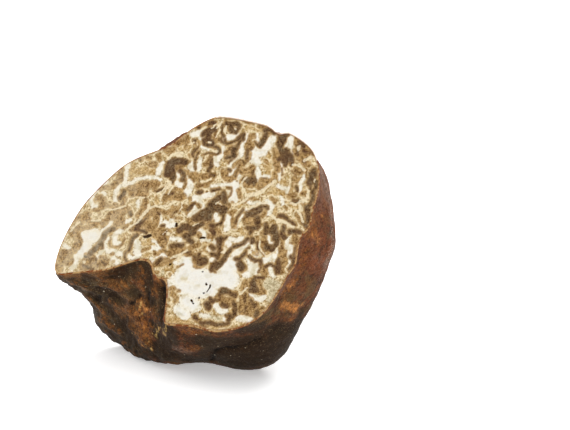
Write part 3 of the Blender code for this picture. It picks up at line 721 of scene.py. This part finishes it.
         7,-2, 7,2), (12, 36,80, 6,-6), (9, 44,64, 2,-8, 2,-6), (9, 92,119, 1,-8, 1,-8), (4, 97,98,
         2,-5), (5, 86,106, 2,4), (4, 84,79, 0,-7, 2,-4, 2,-4), (5, 82,61, 1,-7, 2,-4), (8, 59,52,
         6,-1), (5, 84,39, 8,-3, 7,-2), (6, 103,35, -2,-6), (6, 121,47, 2,-5, -1,-7), (6, 124,59,
         0,-6), (6, -3,50, 6,5, 3,6), (13, 12,33, -2,-9, 3,-10), (8, 3,35, 5,3), (7, 14,52, 2,-5),
        (9, 8,9, 8,0), (5, 36,10, 8,-4, 10,3, 8,-2), (7, 69,11, 7,-2, 4,-3, -1,-7, -3,-7),
        (3.5, 34,-5, 3,1, 2,-4), (4.5, 33,-15, -4,-8, -3,-8, -4,-6), (10, 9,-20, 1,-10, 0,-8),
        (5, 92,21, 4,-6, 1,-5), (8, 19,-54, 11,-2, 8,3), (8, 16,-62, 4,-4), (8, 51,-56, -5,-7,
         -10,-9, -6,-7), (9, -6,-91, 5,1), (30, 25,-98, -2,-14), (26, -48,-102, 2,-14),
        (32, -30,-122, 30,-2, 30,3), (24, -45,-140, 25,-4, 20,4), (22, -38,-162, 16,-6),
        (16, -48,-176, 14,-8), (5, 55,-86, 5,-6, 9,1, 4,-5, 0,-8), (6, 56,-62, 4,-5, -4,-5),
        (6, 71,-70, 2,-6, -7,-1), (5, 82,-43, 1,-7, 4,-6, 5,2), (9, 81,-84, 9,4, 4,4), (6, 114,-44,
         2,-8, 0,-8), (3, 102,-50, -1,-10, 0,-10, -2,-12), (7, 94,-94, 3,-8, 5,-6), (8, 69,-141,
         8,-4, 8,-1, 6,3), (9, 14,-164, 5,-5, 7,-4, 6,3), (5, 32,-183, 2,-4), (10, 56,-180, 8,1,
         10,-1), (9, 121,-56, 2,-8, -2,-8), (3, 125,-80, -2,-9), (9, 54,-109, 8,0), (7, 47,58,
         1,-12), (5, -113,-84, 17,3), (6, -8,-182, 13,0), (18, -54,-115, -5,-13, 5,-6),
        (9, -69,-132, -2,-7), (5, -68,-124, 3,-4), (12, -46,-136, 2,-10), (6, -69,-101, 3,-2),
        (5, -59,-140, 7,1), (10, 60,-93, 8,-3), (8, 62,-102, 7,-2),
    ],
    vein=[
        (3, -249,-50, -9,-9, -4,-8), (4, -228,-46, 14,2), (3, -140,-32, -8,-10, -8,-7, -9,-10),
        (4.5, -132,-12, 1,-6, -5,-7, -6,-7), (3.5, -129,-15, 9,3, 12,1, 10,1, 4,4, 8,4),
        (2.5, -207,-26, 15,2, 10,4, 10,3), (2.5, -150,1, 8,0), (4, -90,-55, 3,-1), (1.5, -49,-39,
         5,3, 4,2), (3.5, -76,-95, 10,5, 7,4, 7,6), (3, -66,-97, 4,4, 3,6), (3.5, -112,68, 4,8, 8,4,
         10,0), (3, -98,75, 9,0), (2.5, -49,36, 9,1, 8,5), (3, -101,30, -1,-8, -5,-6, -5,-8, 0,-6),
        (2.5, -96,22, -3,-6, -2,-6), (2, -75,-2, 2,-8, -3,-6), (3.5, -47,103, 2,-0.5), (3.5, -36,88,
         7,0), (3, -6,129, 1,-0.5), (4.5, -22,130, -1,-7), (2.5, -29,139, -4,-7, -5,-4),
        (2, -40,134, -7,-7), (3.5, -56,128, -6,-5), (2, -32,126, -2,-10, -2,-5), (3, -73,100,
         -2,-1), (3, 108,106, 0,-4), (3.5, 103,75, 6,0, 9,-4, 6,-3), (3, 144,54, -1,-3), (3, 28,48,
         -5,-7, -2,-5, 4,-6, 4,-5), (3, 17,1, 8,3, 8,7, 7,8, 12,3, 10,4), (2, 111,12, 6,-2, 4,4,
         3,4, 6,2), (4, 136,34, 0,-10, -5,-8), (4, 126,10, 1,-8), (3, 123,0, 6,-5, 4,-8, 3,-3),
        (4.5, 80,-10, 10,-6, 12,-2, 8,-4, 10,-4), (3, 12,-70, 1,-8), (2.5, 8,-79, 5,6), (2, 54,-76,
         2,6, 6,5), (2.5, 69,-54, 2,-10, 5,-7, 8,-6, 6,3, 6,6, 4,6), (3, 51,-142, 5,6, 6,5),
        (3, -228,-116, 0.5,0), (3, 109,105, -1,-5), (5, 131,90, -5,-3, -5,-3), (4.5, 32,19, 17,4,
         13,8, 8,9, 8,6), (2.5, 111,12, 7,-1, 5,4, 8,4), (3, 40,-4, 10,6.5, 10,6, 10,1.5),
        (2, -16,1, 4,4), (1.5, -10,3, 4,-3), (2, -104,32, -4,-10, -8,-10, -6,-3), (1.5, -93,-50,
         -5,-8), (2, -229,-116, 1,-1),
    ],
    speck=[
        (4, -130,-65, 6,2, 5,2), (4.5, -77.5,-38, 0.5,-4), (4, -32,-57, 7,0), (4, -76,-105, 1,0),
        (3.2, -9,-131, 1.5,-1), (4, -1,-133, 0,-1.5), (2.2, -2,-137, -3,-6), (3, -16.5,-154.5,
         0.5,-0.5), (3.2, -28,-160, 1,-1), (2.8, -18,-112, 0.5,0), (2.5, -10,-146, 1,0),
        (4.8, -228,-106, 1,-1), (2.2, -12,-179, 0.5,0), (2.4, -25,-164, 1,-1),
    ],
    grey=[
        (20, 96,-120, 10,-2), (14, 104,-134, -2,-10), (5, 92,-156, 2,-4), (6, 14,-182, 10,-2),
        (4, 6,-180, 3,4), (5, -46,-183, 6,-2), (3, -21,-133, 2,0), (6, -87,-118, 2,-5), (6, 10,-184,
         17,1), (5, -48,-183, 10,-2),
    ],
)


# the flesh: a slab that fills the pan, with its marbling drawn as strokes

fleshLook = dict(
    spacing=0.125,         # of the face's mesh, mm
    margin=1,              # mm that the mesh goes past the rim before it is cut
    depth=0.45,            # of the slab, mm
    proud=0.02,            # of the face over the rind's edge, mm
    waver=[(1.1, 0.14), (0.45, 0.11)],   # size and reach of the strokes' unevenness, mm
    merge=0.09,            # strokes of one kind nearer than this run together, mm
    sunk=0.13,             # of the dark islands below the veins, mm
    brownSunk=0.6,         # share of that for the brown ones
    sunkSoft=0.3,          # mm over which an island sinks
    veinSoft=0.25,         # mm over which a vein stands out of it
    paleFrom=(-10, -22),   # where the flesh begins to pale and is palest, mm right of the middle
    span=1.6,              # mm that a mask's 0 to 1 stand for, with the stroke's edge at 0.5
)


def makeFace(rim):
    rim = np.array(rim)
    low, high = rim.min(0) - fleshLook["margin"], rim.max(0) + fleshLook["margin"]
    middle, size = (low + high) / 2, high - low
    counts = [int(side / fleshLook["spacing"]) for side in size]
    deselectAll()
    bpy.ops.mesh.primitive_grid_add(x_subdivisions=counts[0], y_subdivisions=counts[1], size=1)
    flesh = bpy.context.object
    flesh.name = flesh.data.name = "flesh"
    mesh = flesh.data
    points = getPoints(mesh)[:, :2] * size + middle

    # what lies outside the rim goes, and the border that is left is drawn onto it
    ends = np.roll(rim, -1, axis=0)
    inside = np.zeros(len(points), bool)
    for (ax, ay), (bx, by) in zip(rim, ends):
        crosses = (ay > points[:, 1]) != (by > points[:, 1])
        with np.errstate(divide="ignore", invalid="ignore"):
            where = (bx - ax) * (points[:, 1] - ay) / (by - ay) + ax
        inside ^= crosses & (points[:, 0] < where)
    setPoints(mesh, np.column_stack([points, np.zeros(len(points))]))
    pickNothing(flesh, "VERT")
    mesh.vertices.foreach_set("select", ~inside)
    enter("EDIT")
    bpy.ops.mesh.delete(type="VERT")
    enter("OBJECT")
    return flesh


def drawBorder(flesh, rim):
    rim = np.array(rim)
    mesh = bmesh.new()
    mesh.from_mesh(flesh.data)
    # loose corners that hang by one face only, and those that this lays bare
    for _ in range(3):
        corners = [v for v in mesh.verts if len(v.link_faces) < 2 and len(v.link_edges) < 3]
        bmesh.ops.delete(mesh, geom=corners, context="VERTS")
    steps = np.roll(rim, -1, axis=0) - rim
    for v in mesh.verts:
        if v.is_boundary:
            here = np.array(v.co.xy)
            share = np.clip(((here - rim) * steps).sum(1) / (steps ** 2).sum(1), 0, 1)
            near = rim + steps * share[:, None]
            best = ((near - here) ** 2).sum(1).argmin()
            v.co.xy = near[best]
    mesh.to_mesh(flesh.data)
    mesh.free()


def rimDistance(points, rim):
    # mm from each point to the rim
    rim = np.array(rim)
    away = np.full(len(points), np.inf)
    for start, end in zip(rim, np.roll(rim, -1, axis=0)):
        away = np.minimum(away, lineDistance(points, start, end))
    return away


def drawMarbling(flesh, rim):
    look = fleshLook
    mesh = flesh.data
    flat = getPoints(mesh)
    points = flat[:, :2].copy()
    moved = points.copy()
    for n, (size, reach) in enumerate(look["waver"]):
        for axis, shift in enumerate((3.1, 7.7)):
            moved[:, axis] += reach * waver(flat, size, shift + n)
    edges = {kind: markEdge(moved, lines, look["merge"]) for kind, lines in marbling.items()}
    for kind, edge in edges.items():
        addMask(mesh, kind, np.clip(0.5 - edge / look["span"], 0, 1))
    right, left = look["paleFrom"]
    addMask(mesh, "pale", smoothStep((right - points[:, 0]) / (right - left)))
    addMask(mesh, "border", np.clip(rimDistance(points, rim), 0, 1))
    dark, brown = (cover(edges[kind], look["sunkSoft"]) for kind in ("dark", "brown"))
    free = 1 - cover(edges["vein"], look["veinSoft"])
    sunk = np.maximum(dark, look["brownSunk"] * brown) * free
    setPoints(mesh, np.column_stack([points, -look["sunk"] * sunk]))


def makeFlesh(rim):
    flesh = makeFace(rim)
    drawBorder(flesh, rim)
    drawMarbling(flesh, rim)
    mesh = flesh.data
    points = getPoints(mesh)
    points[:, 2] += fleshLook["proud"]
    setPoints(mesh, points)

    # the sides and the underside of the slab
    pickNothing(flesh, "EDGE")
    enter("EDIT")
    bpy.ops.mesh.select_non_manifold()
    bpy.ops.mesh.extrude_edges_move()
    enter("OBJECT")
    for vertex in mesh.vertices:
        if vertex.select:
            vertex.co.z = -fleshLook["depth"]
    enter("EDIT")
    bpy.ops.mesh.edge_face_add()
    bpy.ops.mesh.select_all(action="SELECT")
    bpy.ops.mesh.normals_make_consistent(inside=False)
    enter("OBJECT")

    setPoints(mesh, getPoints(mesh) * mm)
    mesh.transform(toCut)
    shadeSmooth(flesh)
    return flesh


fleshTints = dict(
    tan=((135, 101, 54), (191, 162, 105)),
    cream=((202, 179, 132), (236, 222, 189)),
    ochre=((148, 110, 56), (208, 176, 118)),
    chalk=((206, 193, 160), (237, 232, 219)),
    grey=((160, 148, 114), (214, 203, 172)),
    margin=((122, 88, 44), (200, 165, 110)),
    brown=((88, 54, 24), (188, 152, 97)),
    dark=((50, 28, 12), (161, 125, 82)),
    plum=(101, 68, 50),
    core=(47, 27, 12),
    skinLine=(132, 84, 44),
    pale=(222, 208, 176),
    frost=(230, 228, 223),
    vein=(228, 213, 180),
    speck=(50, 29, 8),
)


def fleshMaterial():
    material, shader, wire = newMaterial("truffle flesh")
    broad, soft, curl = wire.grain(4.5, 2), wire.grain(1.3, 3), wire.grain(0.8, 4, 0.6, 1.4)
    fine, dust = wire.grain(0.42, 4, 0.7), wire.grain(0.2, 3, 0.75)
    ragged = (fine - 0.5) * 0.6 + (dust - 0.5) * 0.6

    # mm inside a kind of stroke, below 0 outside, with a ragged edge
    def depthIn(name, rough):
        return (wire.mask(name) - 0.5) * fleshLook["span"] + ragged * rough

    def tone(name, factor):
        return wire.mix(factor, *[colour(*tint) for tint in fleshTints[name]])

    def paint(over, factor):
        nonlocal tint
        over = colour(*fleshTints[over]) if isinstance(over, str) else over
        tint = wire.mix(factor, tint, over)

    dark, brown = depthIn("dark", 0.6), depthIn("brown", 0.7)
    island = dark.most(brown)
    grains = (dust * 0.5 + fine * 0.5).step(0.41, 0.59)
    blots = (soft * 0.5 + fine * 0.5).step(0.42, 0.58)

    # between the islands: cream and tan that curl round each other
    tint = tone("tan", grains)
    paint(tone("cream", grains), (curl * 0.7 + fine * 0.3).step(0.44, 0.58))
    paint(tone("ochre", grains), depthIn("ochre", 1.0).step(-0.1, 0.25) * 0.8)
    # a pale line some way round each island
    line = island.step(-0.46, -0.30) * (1 - island.step(-0.24, -0.12))
    paint(tone("cream", 0.5 + 0.5 * grains), line * soft.step(0.38, 0.58) * 0.75)
    chalk = tone("chalk", 0.35 * grains + 0.65 * soft.step(0.36, 0.5))
    paint(chalk, depthIn("white", 0.8).step(-0.18, 0.14))
    paint("frost", depthIn("white", 0.5).step(0.25, 0.7) * (0.8 - 0.5 * grains))
    paint(tone("grey", grains), depthIn("grey", 1.0).step(-0.1, 0.3) * 0.7)

    # the islands: brown and dark, grainy, each with a tan margin
    paint(tone("margin", grains), island.step(-0.20, -0.03) * 0.8)
    paint(tone("brown", grains * 0.7 + blots * 0.3), brown.step(-0.10, 0.20) * 0.95)
    inner = tone("dark", grains * 0.75 + blots * 0.25)
    inner = wire.mix(broad.step(0.45, 0.6) * 0.35, inner, colour(*fleshTints["plum"]))
    paint(inner, dark.step(-0.10, 0.20) * 0.97)
    paint("core", dark.step(0.0, 0.35) * (0.15 + blots * 0.45 + (1 - grains) * 0.15))

    # hair-fine paler lines that run through it all, the skin's line, the veins and the specks
    hair = 1 - (abs(curl - 0.5) * 26).clamp()
    paint(tone("cream", grains * 0.6), hair * 0.3 * soft.step(0.45, 0.6))
    skinLine = (1 - wire.mask("border").step(0.08, 0.3)) * (0.7 - 0.6 * wire.mask("pale"))
    paint("skinLine", skinLine * fine.step(0.4, 0.55))
    paint("vein", depthIn("vein", 0.3).step(-0.08, 0.05) * (0.6 + 0.4 * grains))
    paint("speck", depthIn("speck", 0.1).step(-0.05, 0.05))
    paint("pale", wire.mask("pale") * (0.1 + 0.2 * soft.step(0.4, 0.6)))
    height = fine * 0.5 + dust * 0.5
    feed(shader, Base_Color=tint, Roughness=0.5 + 0.3 * fine, Specular_IOR_Level=0.08,
         Normal=wire.bump(height, 0.15, 0.8))
    return material


# grains of soil and sand that stick to the skin

gritLook = dict(
    count=650,
    size=(0.07, 0.2),      # mm across
    shrink=0.6,            # a grain is made smaller by a share from this to 1
    squash=0.6,            # and each of its three sides again
    sunk=0.35,             # share of its size that a grain is sunk
    clear=0.5,             # mm from the cut and the ground that stay free
    skinFacing=0.8,        # none lie on what faces as the cut does by more than this
    patch=4,               # size of the patches that the grains gather in, mm
    between=0.15,          # how thick they lie between the patches
    seed=11,
    tints=dict(soil=(52, 38, 24), dust=(150, 128, 96), sand=(226, 212, 186), fleck=(60, 44, 28)),
)


def makeGrit(rind):
    look = gritLook
    deselectAll()
    bpy.ops.mesh.primitive_ico_sphere_add(subdivisions=1, radius=0.5)   # one grain, 1 across
    grit = bpy.context.object
    grit.name = grit.data.name = "grit"
    grain = getPoints(grit.data)
    faces = np.array([face.vertices[:] for face in grit.data.polygons])
    draw = random.Random(look["seed"])
    skin = [face for face in rind.data.polygons
            if face.normal @ cutFacing < look["skinFacing"] and face.center.z > look["clear"] * mm
            and inCut(np.array([face.center]))[0, 2] < -look["clear"]]
    areas = [face.area * (look["between"] + max(noise.noise(face.center / (look["patch"] * mm)), 0))
             for face in skin]
    points, corners, tones = [], [], []
    for face in draw.choices(skin, areas, k=look["count"]):
        size = draw.uniform(*look["size"]) * draw.uniform(look["shrink"], 1) * mm
        turn = Vector([draw.uniform(-1, 1) for _ in range(3)]).to_track_quat("Z", "Y").to_matrix()
        squash = np.array([draw.uniform(look["squash"], 1) for _ in range(3)])
        place = face.center + face.normal * size * (0.5 - look["sunk"])
        corners.append(faces + len(grain) * len(points))
        points.append((grain * squash * size) @ np.array(turn).T + np.array(place))
        tones.append([draw.random()] * len(grain))
    mesh = bpy.data.meshes.new("grit")
    mesh.from_pydata(np.concatenate(points).tolist(), [], np.concatenate(corners).tolist())
    grit.data = mesh
    addMask(mesh, "tone", np.concatenate(tones))
    return grit


def gritMaterial():
    material, shader, wire = newMaterial("soil grains")
    tints = {name: colour(*tint) for name, tint in gritLook["tints"].items()}
    tone, fine = wire.mask("tone"), wire.grain(0.08, 2)
    tint = wire.mix(tone.step(0.2, 0.9), tints["soil"], tints["dust"])
    tint = wire.mix(tone.step(0.84, 0.98), tint, tints["sand"])
    tint = wire.mix(fine * 0.4, tint, tints["fleck"])
    feed(shader, Base_Color=tint, Roughness=0.6 + 0.2 * fine, Specular_IOR_Level=0.2)
    return material


# floor, light and camera

stage = dict(
    floorSide=6.0,
    floorTint=(246, 246, 246),
    floorGlow=0.40,        # keeps the pale floor from greying
    sky=0.20,
    # for each: its place, what it aims at, its size across and up, its watts
    lamps=dict(
        top=((-0.12, -0.02, 0.60), (0, 0, 0.02), 1.1, 1.0, 6.35),
        front=((-0.35, -0.60, 0.35), (0, 0, 0.02), 0.5, 0.5, 0.7),
        back=((0.25, 0.45, 0.35), (0, 0, 0.03), 0.4, 0.3, 3.0),
    ),
    eye=(0.014863, -0.252938, 0.088449),
    down=14.0,             # degrees that the camera looks down
    lens=100.0,
    sensor=36.0,
    clip=0.01,
)
white = (1, 1, 1, 1)


def makeStage():
    deselectAll()
    bpy.ops.mesh.primitive_plane_add(size=stage["floorSide"])
    floor = bpy.context.object
    floor.name = "floor"
    material, shader, _ = newMaterial("pale floor")
    feed(shader, Base_Color=colour(*stage["floorTint"]), Roughness=0.9, Emission_Color=white,
         Emission_Strength=stage["floorGlow"])
    floor.data.materials.append(material)

    for name, (place, aim, across, up, watts) in stage["lamps"].items():
        bpy.ops.object.light_add(type="AREA", location=place)
        lamp = bpy.context.object
        lamp.name = f"lamp_{name}"
        lamp.data.shape = "RECTANGLE"
        lamp.data.size, lamp.data.size_y = across, up
        lamp.data.energy = watts
        lamp.rotation_euler = (Vector(aim) - Vector(place)).to_track_quat("-Z", "Y").to_euler()

    world = bpy.data.worlds.new("studio")
    bpy.context.scene.world = world
    world.use_nodes = True
    feed(world.node_tree.nodes["Background"], Color=white, Strength=stage["sky"])

    tilt = math.radians(90 - stage["down"])
    bpy.ops.object.camera_add(location=stage["eye"], rotation=(tilt, 0, 0))
    camera = bpy.context.object
    camera.data.lens = stage["lens"]
    camera.data.sensor_width = stage["sensor"]
    camera.data.clip_start = stage["clip"]
    bpy.context.scene.camera = camera
    bpy.context.scene.view_settings.view_transform = "Standard"


print("rind")
rind, rim = makeRind()
rind.data.materials.append(rindMaterial())
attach(rind, "root")
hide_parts("truffle_half")

print("flesh")
flesh = makeFlesh(rim)
flesh.data.materials.append(fleshMaterial())
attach(flesh, "root")

print("grit")
grit = makeGrit(rind)
grit.data.materials.append(gritMaterial())
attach(grit, "root")

print("floor, light and camera")
makeStage()
